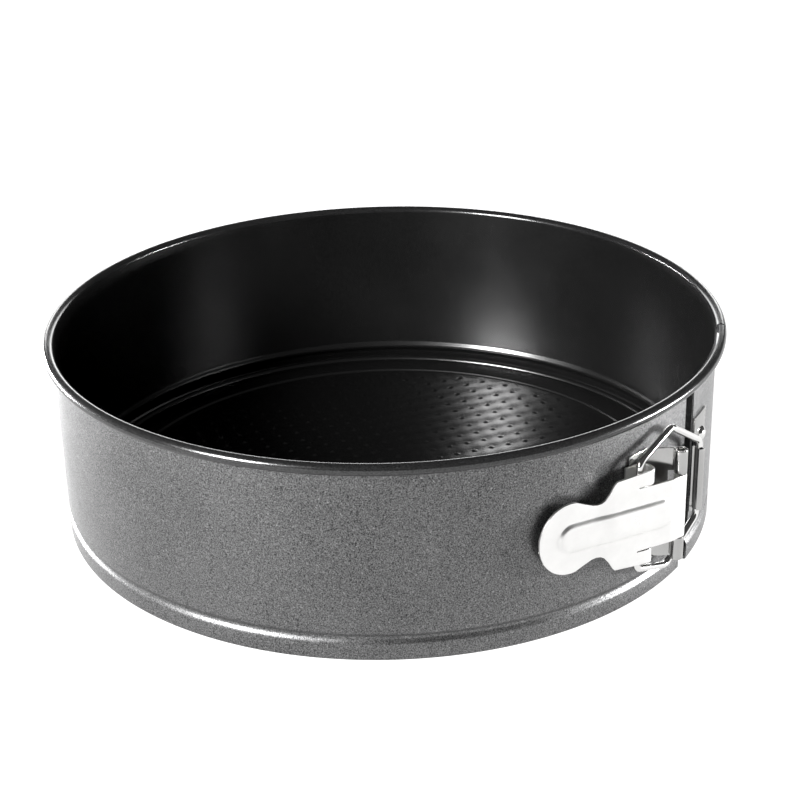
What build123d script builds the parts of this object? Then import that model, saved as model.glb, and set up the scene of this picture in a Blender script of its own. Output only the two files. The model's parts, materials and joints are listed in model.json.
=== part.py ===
from build123d import *
import os
from math import cos, sin, radians, degrees, asin, atan2, hypot

# Springform pan, 24 cm across and 7 cm deep, latched. All lengths are in millimetres.
# +Z is up, the origin is on the pan's axis in the plane it stands on, and the latch is on +X.

# ---- Driving dimensions: the ring ----
SHEET = 0.6                 # coated steel sheet of the ring and the base
WALL_IN = 119.8             # inside radius of the wall
WALL_OUT = WALL_IN + SHEET
HEIGHT = 72.0               # overall height, over the rolled rim
RIM_R = 2.0                 # outside radius of the rolled rim's tube
RIM_CENTRE = (WALL_IN + RIM_R, HEIGHT - RIM_R)
GROOVE_Z = 8.2              # middle of the groove that closes the base's channel
GROOVE_HALF = 2.4           # half of the groove's height
GROOVE_DEPTH = 0.9
TOE_IN = 117.3              # inside radius of the turned-in foot that carries the base
TOE_HEIGHT = 1.2
FOOT_ROUND = 0.8
GAP_HALF = 3.5              # half of the split between the ring's two ends
SLEEVE_DEG = 23.0           # the lever side's rim reaches this far over the other end
SLEEVE_ARC = (-60, 110)     # the sleeve's section, open towards the wall it covers
SLEEVE_CLEAR_DEG = 0.5
NECK_TOP = 70.6             # plain wall edge that slides inside the sleeve

# ---- Driving dimensions: the base ----
BASE_R = 118.3
BASE_BEAD_R = 1.5           # rolled edge of the base
BASE_BEAD_Z = 3.0
SHELF_TOP = 3.4             # flat ring inside the rolled edge
FLOOR_TOP = 2.6             # pipped floor, pressed slightly lower
FLOOR_R = 104.3
STEP_RUN = 0.8

# ---- Driving dimensions: the latch ----
MID_Z = 37.0                # the whole latch is symmetric about this height
HINGE = (127.6, -24.1)      # lever's pin, in plan
LEVER_DEG = -121.6          # direction of the closed lever away from its pin
LATCH_SHEET = 0.8
PIN_R = 1.2
KNUCKLE_IN = 1.3
KNUCKLE_OUT = 2.2
KNUCKLE_GAP = 0.4           # between the lever's knuckle and the bracket's
BRACKET_HALF = 20.2         # half of the bracket's height
PIN_RECESS = 1.5            # the pin stops this far inside the knuckles' ends
NOTCH_CLEAR = 1.0           # room around the lever's knuckle in the bracket's web
STRIP_HALF = 11.5           # lever's middle strip, which carries its knuckle
LEVER_FACE = 3.0            # outer face of the lever, measured out from the pin
RAMP_END = 5.0              # the strip climbs from the knuckle to that face
RAMP_LAP = 0.5              # the flat plate overlaps the ramp by this much
EAR_START = 11.3            # hinge-side edge of the two ears
EAR_HALF = 17.1
EAR_END = 26.7
EAR_BACK = 20.2             # end of the ears' folded-back lips
EAR_LIP = -2.4              # inner face of those lips
EAR_BEND = 1.0              # size of the corners where an ear folds
EAR_TAPER = 0.9             # an ear's edge drops this much towards the tip
SLIT = 0.5
SLIT_END = 18.2
SHOULDER = (29.2, 12.6)     # end of the ears' sloping edge, along and half across
WAIST = (30.8, 10.4)        # middle of the curve that turns that edge
NECK = (33.6, 9.6)          # narrowest place, where the thumb paddle starts
PADDLE_RISE = (40.0, 11.9)
PADDLE_WIDEST = (46.2, 12.8)
PADDLE_TURN = (52.3, 9.3)
PADDLE_TIP = 55.5
RIB_START = 3.5
RIB_END = 48.5
RIB_HALF = 5.4
RIB_HEIGHT = 0.8
RIB_SIDE = 1.2              # the rib's pocket is narrower than its top by this each side
RIB_SLOPE = 35.0            # slope of the rib's sides, in degrees

# ---- Driving dimensions: the bail and its catch ----
WIRE_R = 1.2
BAIL_ALONG = 16.8           # bail's leg behind the ears, along the lever from the pin
BAIL_BEHIND = 0.65          # and out from the pin's centre
CATCH_LEG = (125.8, -3.6)   # bail's other leg, in the catch's hem
BAIL_EAR_Z = 19.6           # half heights of the wire's bends
BAIL_TOP_Z = 26.1
BAIL_CATCH_Z = 14.2
BAIL_BEND = 2.0
WIRE_ENDS = 0.6             # the wire's two ends meet inside the hem
HEM_HALF = 11.6
HEM_FIT = 0.1               # running fit of the leg in the hem
CATCH_START = 3.6           # catch's edge beside the split
CATCH_END = 15.5
CATCH_HALF = 18.0
RIVET_HEIGHTS = (-9.5, 9.5) # rivets above and below the latch's middle
CATCH_RIVET_Y = 11.0
BRACKET_RIVET_Y = -34.0
RIVET_HEAD_R = 2.7
RIVET_HEAD_H = 1.5
RIVET_SHANK_R = 1.4
RIVET_TAIL_R = 2.2
RIVET_TAIL_H = 0.5
RIVET_TAIL_SEAT = 0.05      # the flat tail just clears the curved wall
BRACKET_START = -37.7       # bracket's flat part on the wall
BRACKET_BEND = -28.3
DRILL_LENGTH = 8.0          # long enough to go through a plate and the wall
OVERSHOOT = 0.1             # cutting shapes pass the faces they cut by this much

os.makedirs("parts", exist_ok=True)


def angle_at(y, radius):
    """Angle around the pan of a point at that height across the split."""
    return degrees(asin(y / radius))


def on_lever(along, out):
    """Plan position of a point given along the closed lever and out from it."""
    a = radians(LEVER_DEG)
    return (HINGE[0] + along * cos(a) - out * sin(a),
            HINGE[1] + along * sin(a) + out * cos(a))


def polar(radius, deg):
    """Point at that distance and angle from an origin."""
    return (radius * cos(radians(deg)), radius * sin(radians(deg)))


def turned(section, start_deg, end_deg):
    """Turn a section drawn in the XZ plane around the pan's axis."""
    body = revolve(section, Axis.Z, revolution_arc=end_deg - start_deg)
    return Rot(0, 0, start_deg) * body


def upright(outline, z_low, z_high):
    """Raise an outline drawn in plan between two heights."""
    return Pos(0, 0, z_low) * extrude(outline, z_high - z_low, dir=(0, 0, 1))


def tube(centre, r_out, r_in, z_low, z_high):
    """An upright tube between two heights."""
    height = z_high - z_low
    place = Pos(centre[0], centre[1], z_low + height / 2)
    return place * Cylinder(r_out, height) - place * Cylinder(r_in, height + 2 * OVERSHOOT)


# ---- The ring ----

def wall_section(top):
    """The wall, its turned-in foot and its groove, from the ground up to a height."""
    low = GROOVE_Z - GROOVE_HALF
    high = GROOVE_Z + GROOVE_HALF
    outer = (Polyline((TOE_IN, 0), (WALL_OUT - FOOT_ROUND, 0))
             + RadiusArc((WALL_OUT - FOOT_ROUND, 0), (WALL_OUT, FOOT_ROUND), -FOOT_ROUND)
             + Line((WALL_OUT, FOOT_ROUND), (WALL_OUT, low))
             + ThreePointArc((WALL_OUT, low), (WALL_OUT - GROOVE_DEPTH, GROOVE_Z), (WALL_OUT, high))
             + Line((WALL_OUT, high), (WALL_OUT, top)))
    inner = (Line((WALL_OUT, top), (WALL_IN, top))
             + Line((WALL_IN, top), (WALL_IN, high))
             + ThreePointArc((WALL_IN, high), (WALL_IN - GROOVE_DEPTH, GROOVE_Z), (WALL_IN, low))
             + Line((WALL_IN, low), (WALL_IN, TOE_HEIGHT))
             + Polyline((WALL_IN, TOE_HEIGHT), (TOE_IN, TOE_HEIGHT), (TOE_IN, 0)))
    return Plane.XZ * make_face(outer + inner)


def rim_section():
    ring = Circle(RIM_R) - Circle(RIM_R - SHEET)
    return Plane.XZ * (Pos(*RIM_CENTRE) * ring)


def sleeve_section():
    """The rim's open section where it covers the other end of the ring."""
    first, last = SLEEVE_ARC
    middle = (first + last) / 2
    inner_r = RIM_R - SHEET
    outer = ThreePointArc(polar(RIM_R, first), polar(RIM_R, middle), polar(RIM_R, last))
    inner = ThreePointArc(polar(inner_r, first), polar(inner_r, middle), polar(inner_r, last))
    ends = (Line(polar(RIM_R, first), polar(inner_r, first))
            + Line(polar(RIM_R, last), polar(inner_r, last)))
    return Plane.XZ * (Pos(*RIM_CENTRE) * make_face(outer + inner + ends))


def ring_lever_side():
    edge = angle_at(-GAP_HALF, WALL_OUT)
    wall = turned(wall_section(HEIGHT - RIM_R), -180, edge)
    rim = turned(rim_section(), -180, edge)
    sleeve = turned(sleeve_section(), edge, SLEEVE_DEG)
    return wall + rim + sleeve


def ring_catch_side():
    edge = angle_at(GAP_HALF, WALL_OUT)
    rim_start = SLEEVE_DEG + SLEEVE_CLEAR_DEG
    neck = turned(wall_section(NECK_TOP), edge, rim_start)
    wall = turned(wall_section(HEIGHT - RIM_R), rim_start, 180)
    rim = turned(rim_section(), rim_start, 180)
    return neck + wall + rim


# ---- The base ----

def base_disc():
    inner_edge = BASE_R - 2 * BASE_BEAD_R
    step = FLOOR_R + STEP_RUN
    sheet = make_face(Polyline(
        (0, FLOOR_TOP), (FLOOR_R, FLOOR_TOP), (step, SHELF_TOP),
        (inner_edge + SHEET, SHELF_TOP), (inner_edge + SHEET, SHELF_TOP - SHEET),
        (step, SHELF_TOP - SHEET), (FLOOR_R, FLOOR_TOP - SHEET), (0, FLOOR_TOP - SHEET),
        close=True))
    bead = Pos(BASE_R - BASE_BEAD_R, BASE_BEAD_Z) * Circle(BASE_BEAD_R)
    return revolve(Plane.XZ * (sheet + bead), Axis.Z)


# ---- The hinge bracket and its pin ----

def knuckle_spans():
    """Heights of the bracket's two knuckles, above and below the lever's."""
    inner = STRIP_HALF + KNUCKLE_GAP
    return [(MID_Z + inner, MID_Z + BRACKET_HALF), (MID_Z - BRACKET_HALF, MID_Z - inner)]


def hinge_bracket():
    low = MID_Z - BRACKET_HALF
    high = MID_Z + BRACKET_HALF
    shell_r = WALL_OUT + LATCH_SHEET
    shell = Plane.XZ * (Pos((WALL_OUT + shell_r) / 2, MID_Z)
                        * Rectangle(LATCH_SHEET, high - low))
    start = angle_at(BRACKET_START, shell_r)
    bend = angle_at(BRACKET_BEND, shell_r)
    flange = turned(shell, start, bend)
    foot = polar(WALL_OUT + LATCH_SHEET / 2, bend)
    reach = hypot(HINGE[0] - foot[0], HINGE[1] - foot[1])
    lean = degrees(atan2(HINGE[1] - foot[1], HINGE[0] - foot[0]))
    length = reach - (KNUCKLE_IN + KNUCKLE_OUT) / 2
    plate = Pos(foot[0], foot[1], MID_Z) * Rot(0, 0, lean) * Pos(length / 2, 0, 0)
    web = plate * Box(length, LATCH_SHEET, high - low)
    window = STRIP_HALF + KNUCKLE_GAP
    clear = KNUCKLE_OUT + NOTCH_CLEAR
    notch = Pos(HINGE[0], HINGE[1], MID_Z) * Cylinder(clear, 2 * window)
    bracket = flange + (web - notch)
    for z_low, z_high in knuckle_spans():
        bracket += tube(HINGE, KNUCKLE_OUT, KNUCKLE_IN, z_low, z_high)
    return bracket


def hinge_pin():
    height = 2 * (BRACKET_HALF - PIN_RECESS)
    return Pos(HINGE[0], HINGE[1], MID_Z) * Cylinder(PIN_R, height)


# ---- The lever ----

def lever_outline():
    """Half of the lever's blank from the ramp to the tip, mirrored about its middle."""
    start = RAMP_END - RAMP_LAP
    ear = EAR_START + EAR_TAPER
    tip = (PADDLE_TIP, 0)
    edge = (Polyline((start, 0), (start, STRIP_HALF), (SLIT_END, STRIP_HALF),
                     (SLIT_END, STRIP_HALF + SLIT), (ear, STRIP_HALF + SLIT),
                     (ear, EAR_HALF), (EAR_END, EAR_HALF - EAR_TAPER), SHOULDER)
            + ThreePointArc(SHOULDER, WAIST, NECK)
            + Spline(NECK, PADDLE_RISE, PADDLE_WIDEST, PADDLE_TURN, tip,
                     tangents=((1, 0), (0, -1)))
            + Line(tip, (start, 0)))
    half = make_face(edge)
    return half + mirror(half, Plane.XZ)


def lever_frame(out):
    """Plane of the lever: x runs from the pin to the tip, y is up, z is outward."""
    x_axis = (cos(radians(LEVER_DEG)), sin(radians(LEVER_DEG)), 0)
    z_axis = (-sin(radians(LEVER_DEG)), cos(radians(LEVER_DEG)), 0)
    place = on_lever(0, out)
    return Plane(origin=(place[0], place[1], MID_Z), x_dir=x_axis, z_dir=z_axis)


def lever_bends(points):
    """Plan positions of a bent strip's corners, given along and out from the lever."""
    return [on_lever(*p) for p in points]


def lever():
    inner = LEVER_FACE - LATCH_SHEET
    frame = lever_frame(inner)
    plate = extrude(frame * lever_outline(), LATCH_SHEET)
    ramp = make_face(Polyline(*lever_bends([
        (0, KNUCKLE_OUT), (RAMP_END, LEVER_FACE), (RAMP_END, inner), (0, KNUCKLE_OUT - LATCH_SHEET)]),
        close=True))
    body = plate + upright(ramp, MID_Z - STRIP_HALF, MID_Z + STRIP_HALF)
    body += tube(HINGE, KNUCKLE_OUT, KNUCKLE_IN, MID_Z - STRIP_HALF, MID_Z + STRIP_HALF)
    body -= Pos(HINGE[0], HINGE[1], MID_Z) * Cylinder(KNUCKLE_IN, 2 * (STRIP_HALF + OVERSHOOT))
    for side in (-1, 1):
        body += ear_lip(side)
    long = RIB_END - RIB_START
    middle = (RIB_START + RIB_END) / 2
    stadium = Pos(middle, 0) * SlotOverall(long, 2 * RIB_HALF)
    pocket = Pos(middle, 0) * SlotOverall(long - 2 * RIB_SIDE, 2 * (RIB_HALF - RIB_SIDE))
    body += extrude(lever_frame(LEVER_FACE) * stadium, RIB_HEIGHT, taper=RIB_SLOPE)
    body -= extrude(lever_frame(inner - OVERSHOOT) * pocket, RIB_HEIGHT + OVERSHOOT,
                    taper=RIB_SLOPE)
    return body


def ear_lip(side):
    """One ear's fold around the bail's leg: down the hinge side and back behind it."""
    low = MID_Z + min(side * (STRIP_HALF + SLIT), side * EAR_HALF)
    high = MID_Z + max(side * (STRIP_HALF + SLIT), side * EAR_HALF)
    inner = LEVER_FACE - LATCH_SHEET
    back = EAR_LIP - LATCH_SHEET
    bend = EAR_START + EAR_BEND
    outline = make_face(Polyline(*lever_bends([
        (bend, LEVER_FACE), (EAR_START, LEVER_FACE - EAR_BEND), (EAR_START, back + EAR_BEND),
        (bend, back), (EAR_BACK, back), (EAR_BACK, EAR_LIP),
        (EAR_START + LATCH_SHEET, EAR_LIP), (EAR_START + LATCH_SHEET, inner),
        (bend, inner)]), close=True))
    return upright(outline, low, high)


# ---- The bail ----

def bail():
    leg = on_lever(BAIL_ALONG, BAIL_BEHIND)
    across = hypot(CATCH_LEG[0] - leg[0], CATCH_LEG[1] - leg[1])
    toward = ((CATCH_LEG[0] - leg[0]) / across, (CATCH_LEG[1] - leg[1]) / across, 0)
    plane = Plane(origin=(leg[0], leg[1], MID_Z), x_dir=toward, z_dir=(toward[1], -toward[0], 0))
    half = across / 2
    corners = [(across, WIRE_ENDS / 2), (across, BAIL_CATCH_Z), (half, BAIL_TOP_Z),
               (0, BAIL_EAR_Z), (0, -BAIL_EAR_Z), (half, -BAIL_TOP_Z),
               (across, -BAIL_CATCH_Z), (across, -WIRE_ENDS / 2)]
    path = plane * FilletPolyline(*corners, radius=BAIL_BEND)
    section = Plane(origin=path @ 0, z_dir=path % 0) * Circle(WIRE_R)
    return sweep(section, path=path)


# ---- The catch ----

def catch_plate():
    """A plate on the wall whose split-side edge stands out and curls around the bail."""
    shell_r = WALL_OUT + LATCH_SHEET
    plate = Plane.XZ * (Pos((WALL_OUT + shell_r) / 2, MID_Z)
                        * Rectangle(LATCH_SHEET, 2 * CATCH_HALF))
    start = angle_at(CATCH_START, shell_r)
    flange = turned(plate, start, angle_at(CATCH_END, shell_r))
    hem_in = WIRE_R + HEM_FIT
    hem_out = hem_in + LATCH_SHEET
    hem = tube(CATCH_LEG, hem_out, hem_in, MID_Z - HEM_HALF, MID_Z + HEM_HALF)
    foot = polar(WALL_OUT + LATCH_SHEET / 2, start)
    reach = hypot(CATCH_LEG[0] - foot[0], CATCH_LEG[1] - foot[1])
    lean = degrees(atan2(CATCH_LEG[1] - foot[1], CATCH_LEG[0] - foot[0]))
    length = reach - (hem_in + hem_out) / 2
    web = (Pos(foot[0], foot[1], MID_Z) * Rot(0, 0, lean) * Pos(length / 2, 0, 0)
           * Box(length, LATCH_SHEET, 2 * HEM_HALF))
    return flange + web + hem


# ---- The rivets ----

def rivet(y, rise):
    """A domed rivet through a latch plate and the wall, with a flat tail inside."""
    seat = WALL_OUT + LATCH_SHEET
    tilt = angle_at(y, seat)
    dome_r = (RIVET_HEAD_R ** 2 + RIVET_HEAD_H ** 2) / (2 * RIVET_HEAD_H)
    ball = Pos(0, 0, RIVET_HEAD_H - dome_r) * Sphere(dome_r)
    head = ball & Pos(0, 0, RIVET_HEAD_H) * Cylinder(dome_r, 2 * RIVET_HEAD_H)
    depth = LATCH_SHEET + SHEET + RIVET_TAIL_SEAT
    shank = Pos(0, 0, -depth / 2) * Cylinder(RIVET_SHANK_R, depth)
    tail = Pos(0, 0, -depth - RIVET_TAIL_H / 2) * Cylinder(RIVET_TAIL_R, RIVET_TAIL_H)
    place = Rot(0, 0, tilt) * Pos(seat, 0, MID_Z + rise) * Rot(0, 90, 0)
    return place * (head + shank + tail)


def bored(body, y):
    """The same body with the rivets' holes through it."""
    for rise in RIVET_HEIGHTS:
        hole = (Rot(0, 0, angle_at(y, WALL_OUT + LATCH_SHEET)) * Pos(WALL_OUT, 0, MID_Z + rise)
                * Rot(0, 90, 0) * Cylinder(RIVET_SHANK_R, DRILL_LENGTH))
        body -= hole
    return body


parts = {
    "ring_lever_side": bored(ring_lever_side(), BRACKET_RIVET_Y),
    "ring_catch_side": bored(ring_catch_side(), CATCH_RIVET_Y),
    "base_disc": base_disc(),
    "hinge_bracket": bored(hinge_bracket(), BRACKET_RIVET_Y),
    "hinge_pin": hinge_pin(),
    "lever": lever(),
    "bail": bail(),
    "catch_plate": bored(catch_plate(), CATCH_RIVET_Y),
}
for name, rise in zip(("lower", "upper"), RIVET_HEIGHTS):
    parts["bracket_rivet_" + name] = rivet(BRACKET_RIVET_Y, rise)
    parts["catch_rivet_" + name] = rivet(CATCH_RIVET_Y, rise)

for name, shape in parts.items():
    export_step(shape, "parts/" + name + ".step")
    box = shape.bounding_box()
    print(name, len(shape.solids()), [round(v, 1) for v in (*box.min, *box.max)])
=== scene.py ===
import json
from math import acos, asin, atan2, ceil, cos, degrees, hypot, pi, radians, sin

import bpy
import bmesh
from mathutils import Matrix, Vector
from mathutils.geometry import delaunay_2d_cdt


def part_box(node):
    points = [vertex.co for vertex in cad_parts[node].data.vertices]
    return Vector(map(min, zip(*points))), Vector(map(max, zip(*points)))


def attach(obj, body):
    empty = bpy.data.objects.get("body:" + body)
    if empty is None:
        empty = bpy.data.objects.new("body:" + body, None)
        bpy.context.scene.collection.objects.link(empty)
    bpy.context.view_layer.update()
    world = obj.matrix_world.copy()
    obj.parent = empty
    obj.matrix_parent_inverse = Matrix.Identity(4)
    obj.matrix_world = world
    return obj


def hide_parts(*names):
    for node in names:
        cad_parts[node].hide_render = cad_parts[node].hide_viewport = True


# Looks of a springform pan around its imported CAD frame. Lengths are in metres, in the frame's own
# axes: +Z up, the split and the latch on +X. Places come from the CAD nodes' boxes and the joints.

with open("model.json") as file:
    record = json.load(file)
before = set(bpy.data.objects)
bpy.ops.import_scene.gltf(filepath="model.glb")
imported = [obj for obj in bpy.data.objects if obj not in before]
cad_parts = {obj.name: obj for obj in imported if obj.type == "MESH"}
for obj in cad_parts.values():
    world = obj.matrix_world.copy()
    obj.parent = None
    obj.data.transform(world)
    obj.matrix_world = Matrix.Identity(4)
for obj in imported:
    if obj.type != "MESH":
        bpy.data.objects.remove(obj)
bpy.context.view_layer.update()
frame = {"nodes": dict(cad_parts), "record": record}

MM = 0.001
joints = {j["name"]: j for j in frame["record"]["behaviour"]["joints"]}
HINGE = Vector(joints["lever_swing"]["pos_m"][:2])
CATCH_LEG = Vector(joints["bail_swing"]["pos_m"][:2])
MID_Z = joints["lever_swing"]["pos_m"][2]

# The ring, from its CAD box and the CAD's driving dimensions
ring_low, ring_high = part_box("ring_lever_side")
HEIGHT = ring_high.z
RIM_R = 2.0 * MM
RIM_C = (-ring_low.x - RIM_R - 0.01 * MM, HEIGHT - RIM_R)
SHEET = 0.6 * MM
WALL_IN = RIM_C[0] - RIM_R
WALL_OUT = WALL_IN + SHEET
GROOVE_Z = 8.2 * MM
GROOVE_HALF = 2.4 * MM
GROOVE_DEPTH = 0.9 * MM
TOE_IN = 117.3 * MM
TOE_HEIGHT = 1.2 * MM
FOOT_ROUND = 0.8 * MM
NECK_TOP = 70.6 * MM
GAP_HALF = 3.5 * MM
SLEEVE_END = 23.0
SLEEVE_CLEAR = 0.5
SLEEVE_ARC = (-60, 110)

# The base
base_low, base_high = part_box("base_disc")
BASE_R = base_high.x
BEAD_R = (base_high.z - base_low.z) / 2
BEAD_Z = (base_high.z + base_low.z) / 2
SHELF_TOP = 3.4 * MM
FLOOR_TOP = 2.6 * MM
FLOOR_R = 104.3 * MM
STEP_RUN = 0.8 * MM
PIP_PITCH = 7.4 * MM
PIP_TURN = 52.3
PIP_R = 1.4 * MM
PIP_HEIGHT = 0.42 * MM

# The latch
LATCH_SHEET = 0.8 * MM
CUT_EDGE = 0.14 * MM        # rounding of the cut edges of pressed sheet
LEVER_DEG = -121.6
LEVER_MID = 2.6 * MM        # middle of the lever's sheet, out from the pin
KNUCKLE_MID = 1.8 * MM      # middle of the sheet curled around the pin
WIRE_R = 1.2 * MM
BAIL_LEG = (16.8 * MM, 0.65 * MM)   # leg in the ears, along the lever and out from the pin
BAIL_EAR_UP = 19.6 * MM     # half heights of the wire's bends
BAIL_CATCH_UP = 14.2 * MM
BAIL_END_UP = 0.3 * MM      # half of the gap between the wire's two ends
BAIL_BEND = 3.6 * MM
HEM_HALF = 11.6 * MM
CATCH_FAR = 15.3 * MM       # catch's edges on the wall, across the split
CATCH_NEAR = 4.2 * MM
HEM_ALONG = (0.455, 0.89)   # direction of the oval hem's long side, in plan
HEM_SHIFT = -0.1 * MM
HEM_SIDE = 1.7 * MM
HEM_REACH = 0.9 * MM
BRACKET_FAR = -37.5 * MM    # bracket's edges on the wall, across the split
BRACKET_NEAR = -28.6 * MM
BRACKET_WINDOW = 11.9 * MM  # half height of the room for the lever's knuckle
BRACKET_CLEAR = 3.3 * MM    # and its reach from the pin
BRACKET_CURL = 325          # degrees of sheet around the pin
PLAN_STEP = 1.2 * MM        # spacing of points along bent sheet


# ---- Small helpers ----

def polar(radius, deg, centre=(0, 0)):
    """Point at that distance and angle from a centre."""
    a = radians(deg)
    return (centre[0] + radius * cos(a), centre[1] + radius * sin(a))


def arc(centre, radius, start, end, steps):
    """Points on an arc, both ends included."""
    return [polar(radius, start + (end - start) * i / steps, centre) for i in range(steps + 1)]


def smooth_step(t):
    """An easy climb from 0 to 1."""
    t = min(max(t, 0.0), 1.0)
    return t * t * (3 - 2 * t)


def angle_at(y, radius):
    """Angle around the pan of a point at that distance from the plane of +X."""
    return degrees(asin(y / radius))


def new_piece(name, verts, faces, mats, face_mats=None, sharp=35):
    """A smooth-shaded object from its points and faces."""
    mesh = bpy.data.meshes.new(name)
    mesh.from_pydata([tuple(v) for v in verts], [], faces)
    for m in mats:
        mesh.materials.append(m)
    if face_mats:
        mesh.polygons.foreach_set("material_index", face_mats)
    mesh.update()
    bm = bmesh.new()
    bm.from_mesh(mesh)
    bmesh.ops.remove_doubles(bm, verts=bm.verts, dist=1e-7)
    bmesh.ops.recalc_face_normals(bm, faces=bm.faces)
    bm.to_mesh(mesh)
    bm.free()
    piece = bpy.data.objects.new(name, mesh)
    bpy.context.scene.collection.objects.link(piece)
    soften(piece, sharp)
    return piece


def soften(piece, sharp):
    """Smooth shading with creases kept at edges sharper than the angle."""
    for face in piece.data.polygons:
        face.use_smooth = True
    piece.data.set_sharp_from_angle(angle=radians(sharp))


def bake_modifiers(piece, sharp=35):
    """Replace a piece's mesh by its result, so that nothing is left to evaluate."""
    graph = bpy.context.evaluated_depsgraph_get()
    mesh = bpy.data.meshes.new_from_object(piece.evaluated_get(graph))
    piece.modifiers.clear()
    piece.data = mesh
    soften(piece, sharp)


def thicken(piece, thickness, edge=CUT_EDGE):
    """Give a sheet its thickness about its middle and round its cut edges."""
    solid = piece.modifiers.new("sheet", "SOLIDIFY")
    solid.thickness = thickness
    solid.offset = 0
    solid.use_even_offset = False
    bevel = piece.modifiers.new("edges", "BEVEL")
    bevel.width = edge
    bevel.segments = 2
    bevel.limit_method = "ANGLE"
    bevel.angle_limit = radians(50)
    bake_modifiers(piece)


# ---- Materials ----

GRAIN_SCALE = 2300          # grains of the coat across a metre
GRAIN_DEPTH = 0.04 * MM
QUILT_DEPTH = 0.18 * MM
FLAKE_GAIN = 1.2            # sparse flakes are this much lighter than the coat
GLOSS_SPREAD = 0.02         # unevenness of the coat's roughness
WAVE_DEPTH = 0.06 * MM      # waviness of plated sheet
SCRATCH_DEPTH = 0.01 * MM


class Nodes:
    """A short way to build a material's node tree."""

    def __init__(self, name):
        self.material = bpy.data.materials.new(name)
        self.material.use_nodes = True
        self.tree = self.material.node_tree
        self.shader = self.tree.nodes["Principled BSDF"]
        self.coords = self.tree.nodes.new("ShaderNodeTexCoord").outputs["Object"]

    def add(self, kind, **settings):
        node = self.tree.nodes.new(kind)
        for key, value in settings.items():
            setattr(node, key, value)
        return node

    def link(self, a, b):
        self.tree.links.new(a, b)

    def noise(self, scale, detail=3.0, rough=0.55, vector=None):
        node = self.add("ShaderNodeTexNoise")
        node.inputs["Scale"].default_value = scale
        node.inputs["Detail"].default_value = detail
        node.inputs["Roughness"].default_value = rough
        self.link(vector or self.coords, node.inputs["Vector"])
        return node.outputs["Fac"]

    def ramp(self, value, low, high, out_low, out_high):
        node = self.add("ShaderNodeMapRange")
        self.link(value, node.inputs["Value"])
        node.inputs["From Min"].default_value = low
        node.inputs["From Max"].default_value = high
        node.inputs["To Min"].default_value = out_low
        node.inputs["To Max"].default_value = out_high
        return node.outputs["Result"]

    def maths(self, operation, a, b):
        node = self.add("ShaderNodeMath", operation=operation)
        for socket, value in zip(node.inputs, (a, b)):
            if isinstance(value, (int, float)):
                socket.default_value = value
            else:
                self.link(value, socket)
        return node.outputs["Value"]

    def mix_colour(self, factor, a, b):
        node = self.add("ShaderNodeMix", data_type="RGBA")
        self.link(factor, node.inputs["Factor"])
        for socket, value in ((node.inputs["A"], a), (node.inputs["B"], b)):
            if isinstance(value, tuple):
                socket.default_value = (*value, 1.0)
            else:
                self.link(value, socket)
        return node.outputs["Result"]

    def stretched(self, x, y, z):
        node = self.add("ShaderNodeMapping")
        node.inputs["Scale"].default_value = (x, y, z)
        self.link(self.coords, node.inputs["Vector"])
        return node.outputs["Vector"]

    def bump(self, height, strength, distance, under=None):
        node = self.add("ShaderNodeBump")
        node.inputs["Strength"].default_value = strength
        node.inputs["Distance"].default_value = distance
        self.link(height, node.inputs["Height"])
        if under:
            self.link(under, node.inputs["Normal"])
        return node.outputs["Normal"]

    def set(self, **values):
        for key, value in values.items():
            socket = self.shader.inputs[key.replace("_", " ")]
            if isinstance(value, (int, float)):
                socket.default_value = value
            elif isinstance(value, tuple):
                socket.default_value = (*value, 1.0)
            else:
                self.link(value, socket)


def coated(name, dark, light, metallic, rough, specular, sparkle, grain_bump, quilted=False):
    """Non-stick coat over sheet steel: fine grain, sparse flakes and a slightly uneven gloss."""
    m = Nodes(name)
    grain = m.noise(GRAIN_SCALE, 2.0)
    cloud = m.noise(28, 3.0)
    tone = m.maths("ADD", m.ramp(grain, 0.3, 0.7, 0.0, 0.9), m.ramp(cloud, 0.3, 0.7, 0.0, 0.1))
    base = m.mix_colour(tone, dark, light)
    cells = m.add("ShaderNodeTexVoronoi", feature="F1")
    cells.inputs["Scale"].default_value = GRAIN_SCALE
    m.link(m.coords, cells.inputs["Vector"])
    pick = m.add("ShaderNodeSeparateColor")
    m.link(cells.outputs["Color"], pick.inputs["Color"])
    flake = m.ramp(pick.outputs["Red"], 1 - sparkle, 1.0, 0.0, 1.0)
    colour = m.mix_colour(flake, base, tuple(c * FLAKE_GAIN for c in light))
    rough_map = m.ramp(m.noise(45, 4.0), 0.3, 0.7, rough - GLOSS_SPREAD, rough + GLOSS_SPREAD)
    m.set(Base_Color=colour, Roughness=rough_map, Metallic=metallic)
    m.set(Specular_IOR_Level=specular)
    under = m.bump(quilting(m), 0.9, QUILT_DEPTH) if quilted else None
    m.set(Normal=m.bump(grain, grain_bump, GRAIN_DEPTH, under=under))
    return m.material


def quilting(m):
    """Shallow waves pressed between the base's pips."""
    turn = m.add("ShaderNodeMapping")
    turn.inputs["Rotation"].default_value = (0, 0, -radians(PIP_TURN))
    m.link(m.coords, turn.inputs["Vector"])
    split = m.add("ShaderNodeSeparateXYZ")
    m.link(turn.outputs["Vector"], split.inputs["Vector"])
    waves = [m.maths("COSINE", m.maths("MULTIPLY", split.outputs[axis], 2 * pi / PIP_PITCH), 0.0)
             for axis in ("X", "Y")]
    return m.ramp(m.maths("ADD", waves[0], waves[1]), -2, 2, 0, 1)


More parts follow.
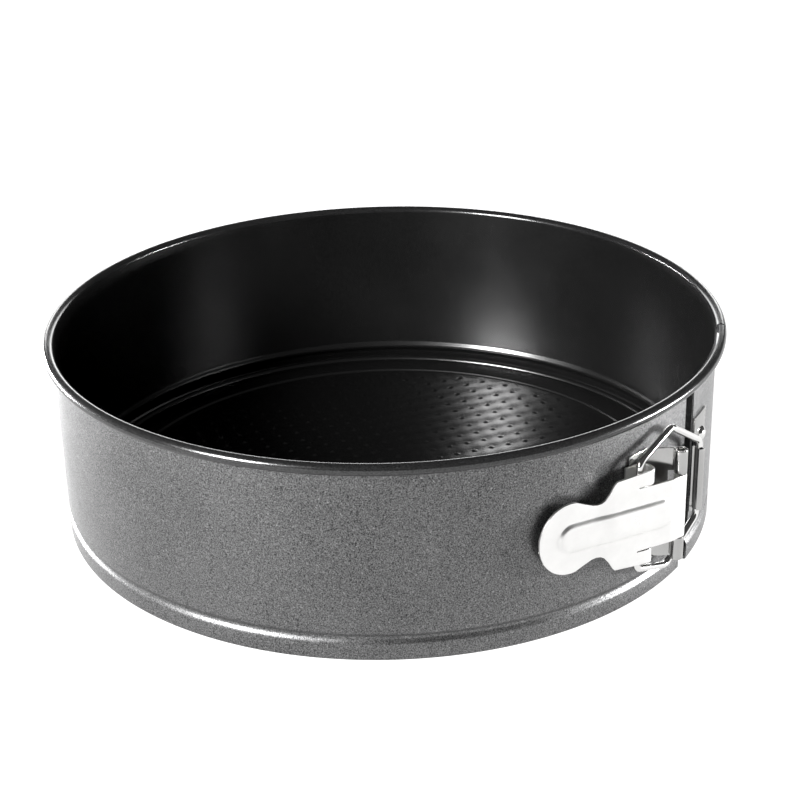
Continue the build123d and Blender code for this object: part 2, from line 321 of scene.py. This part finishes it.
def plated(name, colour, rough, scratch):
    """Bright nickel over pressed steel: faint cloudiness, fine scratches and slight waviness."""
    m = Nodes(name)
    cloud = m.noise(90, 4.0)
    fine = m.noise(1.0, 2.0, vector=m.stretched(500, 500, 6000))
    wave = m.noise(120, 1.0)
    tint = tuple(c * 0.9 for c in colour)
    m.set(Base_Color=m.mix_colour(m.ramp(cloud, 0.35, 0.65, 0, 1), colour, tint))
    gloss = m.maths("ADD", m.ramp(cloud, 0.3, 0.7, rough - 0.03, rough + 0.04),
                    m.ramp(fine, 0.6, 0.8, 0.0, 0.06))
    m.set(Roughness=gloss, Metallic=1.0)
    wavy = m.bump(wave, 0.25, WAVE_DEPTH)
    m.set(Normal=m.bump(fine, scratch, SCRATCH_DEPTH, under=wavy))
    return m.material


# Dark and light colour, metallic, roughness, specular level, flakes and depth of grain
OUTSIDE = coated("graphite_outside", (0.015, 0.015, 0.016), (0.235, 0.235, 0.236),
                 0.95, 0.41, 0.5, 0.02, 0.5)
# Painted shade: the inside of the ring and the base get far darker copies of the coat on the outside of
# the same sheet, standing in for the shade inside the pan.
INSIDE_PAINTED_SHADE = coated("nonstick_inside_painted_shade", (0.003, 0.003, 0.003), (0.012, 0.012, 0.012),
                0.15, 0.25, 1.0, 0.004, 0.3)
FLOOR_PAINTED_SHADE = coated("nonstick_base_painted_shade", (0.003, 0.003, 0.003), (0.012, 0.012, 0.012),
                    0.1, 0.21, 1.0, 0.01, 0.2, quilted=True)
# Painted shade and painted dark reflection: the rolled rim, part of the outside sheet, gets a darker
# copy of the outside coat.
RIM_PAINTED_SHADE = coated("graphite_rim_painted_shade", (0.012, 0.012, 0.012), (0.070, 0.070, 0.071),
                  0.7, 0.20, 1.0, 0.03, 0.3)
# Colour, roughness and depth of scratches
NICKEL = plated("nickel", (0.80, 0.795, 0.785), 0.11, 0.2)
# Painted shade: the bracket and catch get a darker copy of the nickel, standing in for the bracket's
# self-shadow and dark reflections.
NICKEL_PAINTED_SHADE = plated("nickel_painted_shade", (0.46, 0.458, 0.452), 0.13, 0.3)
SATIN_NICKEL = plated("satin_nickel", (0.84, 0.835, 0.825), 0.30, 0.35)
PIN_STEEL = plated("pin_steel", (0.62, 0.61, 0.60), 0.30, 0.5)


# ---- Turned sheet: the ring and the base ----

def lathe(name, runs, start, end, mats, caps=True, closed=False, step=1.0):
    """Turn a section around the axis. The section is given as runs of (points, material index)."""
    points = []
    strip_mats = []
    for run, index in runs:
        first = 1 if points else 0
        points += run[first:]
        strip_mats += [index] * (len(run) - 1)
    if points[0] == points[-1]:
        points.pop()
    count = len(points)
    turns = max(1, ceil((end - start) / step))
    rows = turns if closed else turns + 1
    verts = []
    for i in range(rows):
        a = radians(start + (end - start) * i / turns)
        verts += [(r * cos(a), r * sin(a), z) for r, z in points]
    faces = []
    face_mats = []
    for i in range(turns):
        here = i * count
        there = ((i + 1) % rows) * count
        for k in range(len(strip_mats)):
            n = (k + 1) % count
            faces.append((here + k, here + n, there + n, there + k))
            face_mats.append(strip_mats[k])
    if caps and not closed:
        faces.append(tuple(range(count)))
        faces.append(tuple(reversed(range(count * (rows - 1), count * rows))))
        face_mats += [0, 0]
    return new_piece(name, verts, faces, mats, face_mats, sharp=40)


def groove(radius, sign):
    """The groove's curve seen from one face of the wall, from below upwards for sign +1."""
    steps = 14
    out = []
    for i in range(steps + 1):
        t = -1 + 2 * i / steps
        depth = GROOVE_DEPTH * (1 + cos(pi * t)) / 2
        out.append((radius - depth, GROOVE_Z + sign * t * GROOVE_HALF))
    return out


def wall_runs(top):
    """The wall's section with its rolled rim (top None) or a plain edge at a height."""
    outside = ([(TOE_IN, 0), (WALL_OUT - FOOT_ROUND, 0)]
               + arc((WALL_OUT - FOOT_ROUND, FOOT_ROUND), FOOT_ROUND, -90, 0, 6)[1:]
               + groove(WALL_OUT, 1))
    inside = groove(WALL_IN, -1) + [(WALL_IN, TOE_HEIGHT), (TOE_IN, TOE_HEIGHT), (TOE_IN, 0)]
    if top is None:
        lap = -degrees(acos((WALL_OUT - RIM_C[0]) / RIM_R))
        rim = arc(RIM_C, RIM_R, lap, 180, 36)
    else:
        rim = [(WALL_OUT, top), (WALL_IN, top)]
    shoulder = [outside[-1], rim[0]]
    drop = [rim[-1], inside[0]]
    return [(outside, 0), (shoulder, 0), (rim, 2), (drop, 1), (inside, 1)]


def sleeve_runs():
    """The rim's open section, where it covers the other end of the ring."""
    first, last = SLEEVE_ARC
    outer = arc(RIM_C, RIM_R, first, last, 20)
    inner = arc(RIM_C, RIM_R - SHEET, last, first, 20)
    return [(outer, 2), ([outer[-1], inner[0]], 2), (inner, 0), ([inner[-1], outer[0]], 2)]


def join(pieces, name):
    """Several meshes as one piece."""
    bm = bmesh.new()
    for piece in pieces:
        bm.from_mesh(piece.data)
    first = pieces[0]
    bm.to_mesh(first.data)
    bm.free()
    for piece in pieces[1:]:
        bpy.data.objects.remove(piece)
    first.name = name
    first.data.name = name
    return first


def make_ring():
    mats = [OUTSIDE, INSIDE_PAINTED_SHADE, RIM_PAINTED_SHADE]
    lever_edge = angle_at(-GAP_HALF, WALL_OUT)
    catch_edge = angle_at(GAP_HALF, WALL_OUT)
    rim_start = SLEEVE_END + SLEEVE_CLEAR
    lever_half = join([lathe("wall", wall_runs(None), -180, lever_edge, mats),
                       lathe("sleeve", sleeve_runs(), lever_edge, SLEEVE_END, mats)], "ring_lever_half")
    catch_half = join([lathe("neck", wall_runs(NECK_TOP), catch_edge, rim_start, mats),
                       lathe("wall", wall_runs(None), rim_start, 180, mats)], "ring_catch_half")
    for piece, node, body in ((lever_half, "ring_lever_side", "lever_half"),
                              (catch_half, "ring_catch_side", "catch_half")):
        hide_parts(node)
        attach(piece, body)


def pip(u, v):
    """A small bump, flared into the floor, at a place on the base."""
    rings = 4
    segments = 12
    verts = []
    for k in range(rings):
        r = PIP_R * (1 - k / rings)
        rise = PIP_HEIGHT * (1 + cos(pi * r / PIP_R)) / 2
        for s in range(segments):
            a = 2 * pi * s / segments
            verts.append((u + r * cos(a), v + r * sin(a), FLOOR_TOP + rise + 0.005 * MM))
    verts.append((u, v, FLOOR_TOP + PIP_HEIGHT))
    faces = []
    for k in range(rings - 1):
        for s in range(segments):
            n = (s + 1) % segments
            faces.append((k * segments + s, k * segments + n, (k + 1) * segments + n,
                          (k + 1) * segments + s))
    last = (rings - 1) * segments
    for s in range(segments):
        faces.append((last + s, last + (s + 1) % segments, rings * segments))
    return verts, faces


def make_base():
    inner_edge = BASE_R - 2 * BEAD_R
    step_out = FLOOR_R + STEP_RUN
    bead_c = (BASE_R - BEAD_R, BEAD_Z)
    meet = degrees(asin((SHELF_TOP - BEAD_Z) / BEAD_R))
    floor = [(0.0, FLOOR_TOP), (FLOOR_R - 1.0 * MM, FLOOR_TOP), (FLOOR_R, FLOOR_TOP)]
    shelf = ([(FLOOR_R + STEP_RUN * t, FLOOR_TOP + (SHELF_TOP - FLOOR_TOP) * smooth_step(t))
              for t in (0.0, 0.2, 0.35, 0.5, 0.65, 0.8, 1.0)]
             + [(inner_edge - 1.0 * MM, SHELF_TOP)])
    bead = arc(bead_c, BEAD_R, 180 - meet, -180 + 30, 24)
    under_z = SHELF_TOP - SHEET
    under = [(inner_edge + 0.4 * MM, under_z), (step_out, under_z), (FLOOR_R, FLOOR_TOP - SHEET),
             (0.0, FLOOR_TOP - SHEET)]
    disc = lathe("base", [(floor, 0), (shelf, 1), ([shelf[-1], bead[0]], 1), (bead, 1),
                          ([bead[-1], under[0]], 1), (under, 1)], 0, 360,
                 [FLOOR_PAINTED_SHADE, INSIDE_PAINTED_SHADE], caps=False, closed=True)
    verts = []
    faces = []
    reach = int(FLOOR_R / PIP_PITCH) + 1
    limit = FLOOR_R - 3.0 * MM
    turn = radians(PIP_TURN)
    for i in range(-reach, reach + 1):
        for j in range(-reach, reach + 1):
            x = (i + 0.5) * PIP_PITCH
            y = (j + 0.5) * PIP_PITCH
            if hypot(x, y) > limit:
                continue
            first = len(verts)
            pv, pf = pip(x * cos(turn) - y * sin(turn), x * sin(turn) + y * cos(turn))
            verts += pv
            faces += [tuple(first + n for n in face) for face in pf]
    pips = new_piece("pips", verts, faces, [FLOOR_PAINTED_SHADE])
    base = join([disc, pips], "base")
    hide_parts("base_disc")
    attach(base, "loose_base")


# ---- Bent sheet: bracket and catch ----

def fillet(points, radius):
    """A line in plan with its corners rounded."""
    out = [Vector(points[0])]
    for a, b, c in zip(points, points[1:], points[2:]):
        a, b, c = Vector(a), Vector(b), Vector(c)
        back, ahead = (a - b).normalized(), (c - b).normalized()
        half = acos(max(-1, min(1, back.dot(ahead)))) / 2
        if abs(half - pi / 2) < 0.02:
            out.append(b)
            continue
        cut = min(radius / max(1e-6, sin(half) / cos(half)), (a - b).length / 2, (c - b).length / 2)
        start, end = b + back * cut, b + ahead * cut
        for i in range(9):
            t = i / 8
            out.append(start * (1 - t) ** 2 + b * 2 * t * (1 - t) + end * t ** 2)
    out.append(Vector(points[-1]))
    return out


def resample(points, spacing):
    """An open line with no side longer than the spacing."""
    out = [points[0]]
    for a, b in zip(points, points[1:]):
        steps = max(1, ceil((b - a).length / spacing))
        out += [a + (b - a) * (i / steps) for i in range(1, steps + 1)]
    return out


def curl(centre, radius, start, sweep, steps=26):
    """Points of the curl around a pin, in plan."""
    return [Vector(polar(radius, start + sweep * i / steps, centre)) for i in range(steps + 1)]


def bent_sheet(name, path, heights, keep):
    """Sheet standing on a path in plan, with the cells for which keep(place, height) holds."""
    count = len(path)
    verts = [(p.x, p.y, z) for z in heights for p in path]
    faces = []
    for row in range(len(heights) - 1):
        z = (heights[row] + heights[row + 1]) / 2
        for k in range(count - 1):
            if keep(k, z):
                a = row * count + k
                faces.append((a, a + 1, a + count + 1, a + count))
    piece = new_piece(name, verts, faces, [NICKEL_PAINTED_SHADE])
    bm = bmesh.new()
    bm.from_mesh(piece.data)
    bmesh.ops.delete(bm, geom=[v for v in bm.verts if not v.link_faces], context="VERTS")
    bm.to_mesh(piece.data)
    bm.free()
    thicken(piece, LATCH_SHEET)
    return piece


def levels(*stops):
    """Heights about the latch's middle, both sides, with steps between the stops."""
    ups = []
    for low, high in zip((0,) + stops, stops):
        steps = max(1, ceil((high - low) / (2.0 * MM)))
        ups += [low + (high - low) * i / steps for i in range(steps)]
    ups.append(stops[-1])
    return [MID_Z - u for u in reversed(ups[1:])] + [MID_Z + u for u in ups]


def make_bracket():
    bracket_low, bracket_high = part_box("hinge_bracket")
    half = (bracket_high.z - bracket_low.z) / 2
    mid_r = WALL_OUT + LATCH_SHEET / 2
    start = angle_at(BRACKET_FAR, mid_r)
    bend = angle_at(BRACKET_NEAR, mid_r)
    flange = arc((0, 0), mid_r, start, bend, 6)
    foot = Vector(flange[-1])
    lean = degrees(atan2(HINGE.y - foot.y, HINGE.x - foot.x))
    reach = (HINGE - foot).length
    tangent = lean - 90 - degrees(asin(KNUCKLE_MID / reach))
    touch = Vector(polar(KNUCKLE_MID, tangent + 180, HINGE))
    plan = fillet([tuple(p) for p in flange] + [tuple(touch)], 1.6 * MM)
    path = resample(plan, PLAN_STEP)
    knuckle_from = len(path) - 1
    path += curl(HINGE, KNUCKLE_MID, tangent + 180, -BRACKET_CURL)[1:]

    def keep(k, z):
        if abs(z - MID_Z) > BRACKET_WINDOW:
            return True
        return k < knuckle_from and (path[k + 1] - HINGE).length > BRACKET_CLEAR

    piece = bent_sheet("bracket", path, levels(BRACKET_WINDOW, half), keep)
    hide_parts("hinge_bracket")
    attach(piece, "lever_half")


def make_catch():
    catch_low, catch_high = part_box("catch_plate")
    half = (catch_high.z - catch_low.z) / 2
    mid_r = WALL_OUT + LATCH_SHEET / 2
    flange = arc((0, 0), mid_r, angle_at(CATCH_FAR, mid_r), angle_at(CATCH_NEAR, mid_r), 6)
    along = Vector(HEM_ALONG).normalized()
    out = Vector((along.y, -along.x))
    facing = degrees(atan2(out.y, out.x))
    centre = CATCH_LEG + out * HEM_SHIFT
    near_end = centre - along * HEM_REACH
    far_end = centre + along * HEM_REACH
    near = far_end - out * HEM_SIDE
    oval = ([near]
            + [near_end + Vector(polar(HEM_SIDE, facing - 180 - s)) for s in range(0, 181, 15)]
            + [far_end + Vector(polar(HEM_SIDE, facing - s)) for s in range(0, 151, 15)])
    plan = fillet([tuple(p) for p in flange] + [tuple(near)], 1.0 * MM)
    path = resample(plan, PLAN_STEP)
    web_from = len([p for p in path if p.length < mid_r + 0.3 * MM]) - 1
    path += resample(oval, PLAN_STEP)[1:]

    def keep(k, z):
        return k < web_from or abs(z - MID_Z) < HEM_HALF

    piece = bent_sheet("catch", path, levels(HEM_HALF, half), keep)
    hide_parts("catch_plate")
    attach(piece, "catch_half")


# ---- The lever ----

STRIP_HALF = 11.5 * MM
SLIT_OUT = 12.0 * MM
SLIT_END = 18.2 * MM
EAR_HALF = 17.1 * MM
EAR_END = 26.7 * MM
TIP = 55.5 * MM
RAMP_END = 5.0 * MM
CURL_TURN = 300
RIB = (3.5 * MM, 48.5 * MM)
RIB_HALF = 5.4 * MM
RIB_FLANK = 1.5 * MM
RIB_HEIGHT = 0.8 * MM
EAR_FOLD = 11.7 * MM        # middle of the ears' sheet on the hinge side
EAR_LIP = -2.8 * MM         # and behind the bail
EAR_BEND = 1.9 * MM
EAR_BACK = 20.0 * MM
PADDLE_DIP = 0.5 * MM       # the paddle lies this much closer to the wall
PADDLE_DIP_RUN = 9 * MM
PADDLE_C = 43.8 * MM        # centre and half width of the paddle's rounded end
PADDLE_HALF = 12.7 * MM
RIB_ROW = 0.3 * MM          # spacing of the rows of points on the rib's flank
RIB_KEEP = 0.35 * MM        # the grid's points keep this far from outline and flank
SHEET_CELL = 0.9 * MM       # grid of points that fills the lever's blank


def lever_place(along, up, out):
    """Position from distances along the closed lever, up and outwards."""
    a = radians(LEVER_DEG)
    return Vector((HINGE.x + along * cos(a) - out * sin(a),
                   HINGE.y + along * sin(a) + out * cos(a), MID_Z + up))


def strip_profile(s):
    """Where the middle strip's flat length s lies: (along, out)."""
    if s < 0:
        turn = -s / KNUCKLE_MID
        return (-KNUCKLE_MID * sin(turn), KNUCKLE_MID * cos(turn))
    out = KNUCKLE_MID + (LEVER_MID - KNUCKLE_MID) * smooth_step(s / RAMP_END)
    dip = PADDLE_DIP * smooth_step((s - EAR_END) / PADDLE_DIP_RUN)
    return (s, out - dip)


EAR_TURN = EAR_FOLD + EAR_BEND
EAR_STRAIGHT = LEVER_MID - EAR_LIP - 2 * EAR_BEND
QUARTER = EAR_BEND * pi / 2
EAR_FLAT_START = EAR_TURN - 2 * QUARTER - EAR_STRAIGHT - (EAR_BACK - EAR_TURN)


def ear_profile(s):
    """Where an ear's flat length s lies once folded around the bail."""
    gone = EAR_TURN - s
    if gone <= 0:
        return (s, LEVER_MID)
    if gone < QUARTER:
        a = gone / EAR_BEND
        return (EAR_TURN - EAR_BEND * sin(a), LEVER_MID - EAR_BEND * (1 - cos(a)))
    gone -= QUARTER
    if gone < EAR_STRAIGHT:
        return (EAR_FOLD, LEVER_MID - EAR_BEND - gone)
    gone -= EAR_STRAIGHT
    if gone < QUARTER:
        a = gone / EAR_BEND
        return (EAR_FOLD + EAR_BEND * (1 - cos(a)), EAR_LIP + EAR_BEND * (1 - sin(a)))
    return (EAR_TURN + gone - QUARTER, EAR_LIP)


def rib_rise(s, v):
    """Height of the pressed rib at a place on the lever."""
    middle = (RIB[0] + RIB[1]) / 2
    reach = (RIB[1] - RIB[0]) / 2 - RIB_HALF
    d = hypot(max(abs(s - middle) - reach, 0), v)
    return RIB_HEIGHT * smooth_step((RIB_HALF - d) / RIB_FLANK)


def lever_blank():
    """Upper half of the lever's flat outline, from its curled end to its tip."""
    k = MM
    start = -KNUCKLE_MID * radians(CURL_TURN)
    half = [(start, 0), (start, STRIP_HALF), (SLIT_END, STRIP_HALF), (SLIT_END, SLIT_OUT),
            (EAR_FLAT_START, SLIT_OUT), (EAR_FLAT_START, EAR_HALF), (13 * k, EAR_HALF),
            (EAR_END, EAR_HALF - 0.9 * k), (27.6 * k, 15.3 * k), (29.2 * k, 12.6 * k),
            (30.8 * k, 10.6 * k), (32.2 * k, 9.8 * k), (33.8 * k, 9.6 * k), (35.6 * k, 9.9 * k),
            (37.6 * k, 10.7 * k), (40.2 * k, 11.8 * k)]
    steps = 26
    for i in range(steps + 1):
        a = radians(100 - 100 * i / steps)
        half.append((PADDLE_C + (TIP - PADDLE_C) * cos(a), PADDLE_HALF * sin(a)))
    return half


def make_lever():
    half = lever_blank()
    outline = half + [(x, -y) for x, y in reversed(half[1:-1])]
    outline = dense(outline, 0.8 * MM)
    points = [Vector(p) for p in outline]
    edges = [(i, (i + 1) % len(points)) for i in range(len(points))]
    middle = (RIB[0] + RIB[1]) / 2
    reach = (RIB[1] - RIB[0]) / 2
    for row in range(round(RIB_FLANK / RIB_ROW) + 1):
        inset = row * RIB_ROW
        ring = stadium(middle, reach - inset, RIB_HALF - inset)
        first = len(points)
        points += ring
        edges += [(first + i, first + (i + 1) % len(ring)) for i in range(len(ring))]
    low = outline[0][0] + SHEET_CELL / 2
    rows = ceil(EAR_HALF / SHEET_CELL)
    for i in range(int((TIP - low) / SHEET_CELL) + 1):
        for j in range(-rows, rows + 1):
            s, v = low + i * SHEET_CELL, j * SHEET_CELL
            if inside_blank(s, v, half, RIB_KEEP) and off_flank(s, v, middle, reach):
                points.append(Vector((s, v)))
    flat, _, faces, _, _, _ = delaunay_2d_cdt(points, edges, [], 0, 1e-7)
    faces = [f for f in faces if inside_face(f, flat, half)]
    verts = []
    for p in flat:
        folded = abs(p.y) > (STRIP_HALF + SLIT_OUT) / 2 and p.x < SLIT_END
        along, out = ear_profile(p.x) if folded else strip_profile(p.x)
        verts.append(lever_place(along, p.y, out + rib_rise(p.x, p.y)))
    piece = new_piece("lever_sheet", verts, [tuple(f) for f in faces], [SATIN_NICKEL])
    thicken(piece, LATCH_SHEET)
    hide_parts("lever")
    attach(piece, "latch_lever")


def dense(points, spacing):
    """A closed outline with no side longer than the spacing."""
    out = []
    for a, b in zip(points, points[1:] + points[:1]):
        a, b = Vector(a), Vector(b)
        steps = max(1, ceil((b - a).length / spacing))
        out += [tuple(a + (b - a) * (i / steps)) for i in range(steps)]
    return out


def stadium(middle, reach, radius):
    """A closed outline with two straight sides and round ends."""
    points = []
    for centre, start in ((middle + reach - radius, -90), (middle - reach + radius, 90)):
        points += [Vector((centre + radius * cos(radians(start + a)), radius * sin(radians(start + a))))
                   for a in range(0, 181, 12)]
    out = []
    for a, b in zip(points, points[1:] + points[:1]):
        steps = max(1, ceil((b - a).length / SHEET_CELL))
        out += [a + (b - a) * (i / steps) for i in range(steps)]
    return out


def half_width(s, half):
    """Outline's upper edge at s, for the part of the blank past the slits."""
    best = 0
    for a, b in zip(half, half[1:]):
        if min(a[0], b[0]) <= s <= max(a[0], b[0]) and abs(a[0] - b[0]) > 1e-9:
            t = (s - a[0]) / (b[0] - a[0])
            best = max(best, a[1] + (b[1] - a[1]) * t)
    return best


def inside_blank(s, v, half, margin):
    """True on the lever's blank, that far from its edges."""
    v = abs(v)
    if s > SLIT_END:
        return v < half_width(s, half) - margin and s < TIP - margin
    in_strip = v < STRIP_HALF - margin and s > half[0][0] + margin
    in_ear = SLIT_OUT + margin < v < half_width(s, half) - margin and s > EAR_FLAT_START + margin
    return in_strip or in_ear


def inside_face(face, flat, half):
    """True where a triangle's middle lies on the blank."""
    s = sum(flat[i].x for i in face) / len(face)
    v = sum(flat[i].y for i in face) / len(face)
    return inside_blank(s, v, half, 0)


def off_flank(s, v, middle, reach):
    """True away from the rib's flank, which has its own rows of points."""
    d = hypot(max(abs(s - middle) - (reach - RIB_HALF), 0), v)
    return d > RIB_HALF + RIB_KEEP or d < RIB_HALF - RIB_FLANK - RIB_KEEP


# ---- The bail ----

def make_bail():
    low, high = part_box("bail")
    top = high.z - MID_Z - WIRE_R
    leg = lever_place(BAIL_LEG[0], 0, BAIL_LEG[1]).xy
    across = (CATCH_LEG - leg).length
    toward = (CATCH_LEG - leg).normalized()
    half = across / 2
    upper = [(across, BAIL_END_UP), (across, BAIL_CATCH_UP), (half, top), (0, BAIL_EAR_UP)]
    corners = upper + [(x, -z) for x, z in reversed(upper)]
    path = resample(fillet(corners, BAIL_BEND), 1.0 * MM)
    segments = 16
    side = Vector((toward.y, -toward.x, 0))
    verts = []
    for i, p in enumerate(path):
        ahead = path[min(i + 1, len(path) - 1)] - path[max(i - 1, 0)]
        ahead.normalize()
        flat = Vector((toward.x * -ahead.y, toward.y * -ahead.y, ahead.x))
        centre = Vector((leg.x + toward.x * p.x, leg.y + toward.y * p.x, MID_Z + p.y))
        for s in range(segments):
            a = 2 * pi * s / segments
            verts.append(centre + (side * cos(a) + flat * sin(a)) * WIRE_R)
    faces = [(i * segments + s, i * segments + (s + 1) % segments,
              (i + 1) * segments + (s + 1) % segments, (i + 1) * segments + s)
             for i in range(len(path) - 1) for s in range(segments)]
    last = (len(path) - 1) * segments
    faces.append(tuple(range(segments)))
    faces.append(tuple(range(last, last + segments)))
    piece = new_piece("bail_wire", verts, faces, [NICKEL])
    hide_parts("bail")
    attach(piece, "latch_bail")


def dress_cad_nodes():
    """CAD nodes that stay as they are, with a better surface."""
    looks = {"hinge_pin": PIN_STEEL}
    for side in ("bracket", "catch"):
        for place in ("upper", "lower"):
            looks[side + "_rivet_" + place] = NICKEL
    for name, material in looks.items():
        mesh = frame["nodes"][name].data
        mesh.materials.clear()
        mesh.materials.append(material)
        for face in mesh.polygons:
            face.use_smooth = True
        mesh.set_sharp_from_angle(angle=radians(40))


# ---- Stage, light and camera ----

SENSOR = 36                 # sensor width in Blender's own millimetres
FLOOR_SIZE = 6.0
FLOOR_BOUNCE = 0.85         # the floor's own light on the pan, and as the camera sees it
FLOOR_SEEN = 1.05
SKY_LIGHT = 0.06
LIGHT_TARGET = Vector((0, 0, 0.03))
CAMERA_AZIMUTH = 31.8
CAMERA_DISTANCE = 0.6085
CAMERA_HEIGHT = 0.3185
CAMERA_PITCH = 24.836
CAMERA_YAW = 0.478
CAMERA_ROLL = 1.290
LENS = 80.5
BLACK_POINT = 0.001


def seen_from_camera(right, ahead, up):
    """A place given along the camera's right, away from it and up, about the pan's axis."""
    a = radians(CAMERA_AZIMUTH)
    return Vector((right * cos(a) - ahead * sin(a), right * sin(a) + ahead * cos(a), up))


def add_camera():
    data = bpy.data.cameras.new("camera")
    data.lens = LENS
    data.sensor_width = SENSOR
    camera = bpy.data.objects.new("camera", data)
    bpy.context.scene.collection.objects.link(camera)
    yaw, pitch, roll = radians(CAMERA_YAW), radians(CAMERA_PITCH), radians(CAMERA_ROLL)
    ahead = seen_from_camera(sin(yaw) * cos(pitch), cos(yaw) * cos(pitch), -sin(pitch))
    right = ahead.cross(Vector((0, 0, 1))).normalized()
    up = right.cross(ahead)
    cam_right = right * cos(roll) - up * sin(roll)
    cam_up = right * sin(roll) + up * cos(roll)
    turn = Matrix((cam_right, cam_up, -ahead)).transposed()
    camera.matrix_world = (Matrix.Translation(seen_from_camera(0, -CAMERA_DISTANCE, CAMERA_HEIGHT))
                           @ turn.to_4x4())
    bpy.context.scene.camera = camera


def add_softbox(name, place, width, height, watts):
    """A rectangular light that faces the pan."""
    data = bpy.data.lights.new(name, "AREA")
    data.shape = "RECTANGLE"
    data.size = width
    data.size_y = height
    data.energy = watts
    light = bpy.data.objects.new(name, data)
    bpy.context.scene.collection.objects.link(light)
    light.location = place
    light.rotation_euler = (LIGHT_TARGET - place).to_track_quat("-Z", "Y").to_euler()


def add_lights():
    add_softbox("right_box", seen_from_camera(1.0, 0.0, 0.05), 0.3, 0.1, 26)
    add_softbox("left_edge", seen_from_camera(-0.82, 0.57, 0.05), 0.4, 0.1, 45)
    add_softbox("front_left", seen_from_camera(-0.68, -0.61, 0.45), 0.3, 0.34, 24)
    add_softbox("back_card", seen_from_camera(0.0, 1.3, 0.32), 1.6, 0.3, 9)
    world = bpy.data.worlds.new("world")
    world.use_nodes = True
    back = world.node_tree.nodes["Background"]
    back.inputs["Color"].default_value = (1, 1, 1, 1)
    back.inputs["Strength"].default_value = SKY_LIGHT
    bpy.context.scene.world = world


def add_floor():
    """A plain floor, white to the camera and a little darker as a light on the pan."""
    size = FLOOR_SIZE
    mesh = bpy.data.meshes.new("floor")
    mesh.from_pydata([(-size, -size, 0), (size, -size, 0), (size, size, 0), (-size, size, 0)], [],
                     [(0, 1, 2, 3)])
    floor = bpy.data.objects.new("floor", mesh)
    bpy.context.scene.collection.objects.link(floor)
    m = Nodes("floor_card")
    tone = m.noise(3, 2.0)
    m.set(Base_Color=m.mix_colour(tone, (0.18, 0.18, 0.18), (0.20, 0.20, 0.20)), Roughness=0.9)
    seen = m.add("ShaderNodeLightPath").outputs["Is Camera Ray"]
    m.set(Emission_Color=(1.0, 1.0, 1.0), Emission_Strength=m.ramp(seen, 0, 1, FLOOR_BOUNCE, FLOOR_SEEN))
    mesh.materials.append(m.material)


def set_view():
    view = bpy.context.scene.view_settings
    view.view_transform = "Standard"
    view.look = "None"
    view.exposure = 0.0
    view.use_curve_mapping = True
    view.curve_mapping.black_level = (BLACK_POINT,) * 3
    view.curve_mapping.update()


make_ring()
make_base()
make_bracket()
make_catch()
make_lever()
make_bail()
dress_cad_nodes()
add_floor()
add_lights()
add_camera()
set_view()
